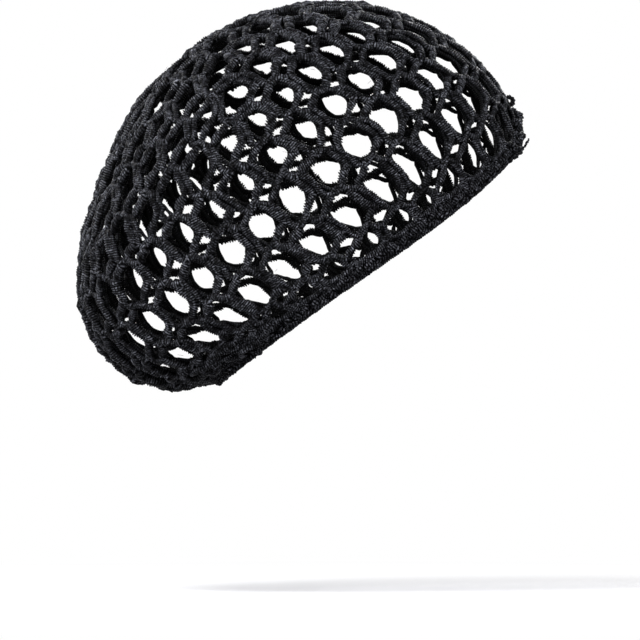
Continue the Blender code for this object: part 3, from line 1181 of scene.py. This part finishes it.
def mixed(tree, share, first, second, **settings):
    """Two colours mixed by a share. The node's colours are its inputs 6 and 7 and its output 2."""
    inputs = {0: share, 6: first, 7: second}
    return add_node(tree, "ShaderNodeMix", inputs, data_type="RGBA", **settings).outputs[2]


def noise(tree, place, values):
    """A noise texture at a place."""
    return add_node(tree, "ShaderNodeTexNoise", {"Vector": place, **values}).outputs["Fac"]


def yarn_material(name, dark, light, shine):
    """Black rayon cord with fine threads across its ribs. Painted shade darkens the grooves between the ribs,
    each cord's flanks and inner side, and the inner cords; the threads and flecks vary the tone at random and
    also paint glints.
    """
    material, tree, shader = new_material(name)
    place = tree.nodes.new("ShaderNodeTexCoord").outputs
    cord_place = add_node(tree, "ShaderNodeSeparateXYZ", {"Vector": place["UV"]}).outputs

    patches = mapped(tree, noise(tree, place["Object"], PATCH_NOISE), PATCH_RANGE)
    rib = mapped(tree, worked_out(tree, "PINGPONG", cord_place["Y"], 0.5), GROOVE_RANGE)
    stretch = add_node(tree, "ShaderNodeMapping", {"Vector": place["UV"], "Scale": THREAD_STRETCH})
    threads = noise(tree, stretch.outputs["Vector"], THREAD_NOISE)
    # Painted light and shade: lighter on the outer side of each cord, darker on its flanks and inner side
    side_shade_mask = worked_out(tree, "SINE", worked_out(tree, "MULTIPLY", cord_place["X"], TAU))
    flecks = noise(tree, place["Object"], FLECK_NOISE)

    # Painted shade in the grooves between the ribs
    factor = mapped(tree, rib, (0.0, 1.0), GROOVE_SHADE_FACTORS)
    for value, given, factors in (
        # Random tone with painted glints along the ribs
        (threads, THREAD_RANGE, THREAD_TONE_AND_GLINT_FACTORS),
        (side_shade_mask, SIDE_SHADE_RANGE, SIDE_SHADE_FACTORS),
        # Painted shade on the inner cords
        (cord_place["X"], INNER_SHADE_RANGE, INNER_SHADE_FACTORS),
        # Fine flecks of random tone with painted glints
        (flecks, FLECK_RANGE, FLECK_TONE_AND_GLINT_FACTORS),
    ):
        factor = worked_out(tree, "MULTIPLY", factor, mapped(tree, value, given, factors))
    colour = mixed(tree, 1.0, mixed(tree, patches, dark, light), factor, blend_type="MULTIPLY")
    bump = add_node(tree, "ShaderNodeBump", {"Height": threads, **BUMP}).outputs["Normal"]
    roughness = mapped(tree, rib, (0.0, 1.0), GROOVE_ROUGHNESS)
    feed(tree, shader, {"IOR": YARN_IOR, "Specular IOR Level": shine})
    feed(tree, shader, {"Base Color": colour, "Roughness": roughness, "Normal": bump})
    return material


def floor_material():
    """Pale and dull, fading into the surroundings."""
    material, tree, shader = new_material("pale_floor")
    feed(tree, shader, {"Base Color": FLOOR_COLOUR, "Roughness": FLOOR_ROUGHNESS, "Specular IOR Level": 0.0})
    glow = add_node(tree, "ShaderNodeEmission", {"Color": HORIZON_COLOUR})
    place = tree.nodes.new("ShaderNodeTexCoord").outputs["Object"]
    distance = add_node(tree, "ShaderNodeVectorMath", {0: place}, operation="LENGTH").outputs["Value"]
    fade = mapped(tree, distance, FLOOR_FADE, interpolation_type="SMOOTHSTEP")
    inputs = {0: fade, 1: shader.outputs["BSDF"], 2: glow.outputs["Emission"]}
    mix = add_node(tree, "ShaderNodeMixShader", inputs)
    feed(tree, tree.nodes["Material Output"], {"Surface": mix.outputs["Shader"]})
    return material


def build_stage():
    """A plain round floor."""
    bpy.ops.mesh.primitive_circle_add(
        vertices=FLOOR_CORNERS, radius=FLOOR_RADIUS, fill_type="NGON", location=(0.0, 0.0, FLOOR_HEIGHT)
    )
    floor = bpy.context.object
    floor.name = "floor"
    floor.data.materials.append(floor_material())


def build_world():
    """Surroundings that are white towards the horizon."""
    world = bpy.data.worlds.new("studio")
    world.use_nodes = True
    tree = world.node_tree
    place = tree.nodes.new("ShaderNodeTexCoord").outputs["Generated"]
    parts = add_node(tree, "ShaderNodeSeparateXYZ", {"Vector": place})
    height = worked_out(tree, "ABSOLUTE", parts.outputs["Z"])
    fade = mapped(tree, height, HORIZON_HEIGHTS, interpolation_type="SMOOTHSTEP")
    feed(tree, tree.nodes["Background"], {"Color": mixed(tree, fade, HORIZON_COLOUR, ZENITH_COLOUR)})
    bpy.context.scene.world = world


def set_up(name, data, place, target):
    """A lamp or camera at a place, looking at a point."""
    thing = bpy.data.objects.new(name, data)
    bpy.context.scene.collection.objects.link(thing)
    thing.location = place
    thing.rotation_mode = "QUATERNION"
    thing.rotation_quaternion = (Vector(target) - thing.location).to_track_quat("-Z", "Y")
    return thing


def build_lights():
    """Soft round lamps: two on the camera's side, a low one at the back of the net, and two behind it."""
    for row in LAMPS:
        light = bpy.data.lights.new(row["name"], "AREA")
        light.shape = "DISK"
        light.size = row["across"]
        light.energy = row["power"]
        set_up(row["name"], light, row["place"], LAMP_AIM)


def build_camera():
    """A level camera at the net's right, as in the photograph."""
    lens = bpy.data.cameras.new("camera")
    lens.lens = lens.sensor_width * CAMERA_DISTANCE / (FRAME_PIXELS * METRES_PER_PIXEL)
    lens.clip_end = CAMERA_CLIP_END
    across = (MIDDLE_PIXEL - ORIGIN_PIXEL[0]) * METRES_PER_PIXEL
    height = (ORIGIN_PIXEL[1] - MIDDLE_PIXEL) * METRES_PER_PIXEL
    place = (across, -CAMERA_DISTANCE, height)
    bpy.context.scene.camera = set_up("camera", lens, place, (across, 0.0, height))


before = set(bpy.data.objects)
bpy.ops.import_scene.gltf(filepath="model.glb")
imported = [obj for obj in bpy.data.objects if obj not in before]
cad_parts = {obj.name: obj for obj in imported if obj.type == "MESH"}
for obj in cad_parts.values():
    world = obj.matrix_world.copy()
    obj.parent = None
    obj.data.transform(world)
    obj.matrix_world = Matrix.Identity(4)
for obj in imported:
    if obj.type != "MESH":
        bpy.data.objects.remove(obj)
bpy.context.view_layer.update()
bpy.context.scene.view_settings.view_transform = "Standard"
build_camera()
build_world()
build_lights()
build_stage()
materials = {row["name"]: yarn_material(**row) for row in YARNS}
build_net(materials["mesh_yarn"])
build_band(materials["edging_yarn"])
build_extras(materials["mesh_yarn"])
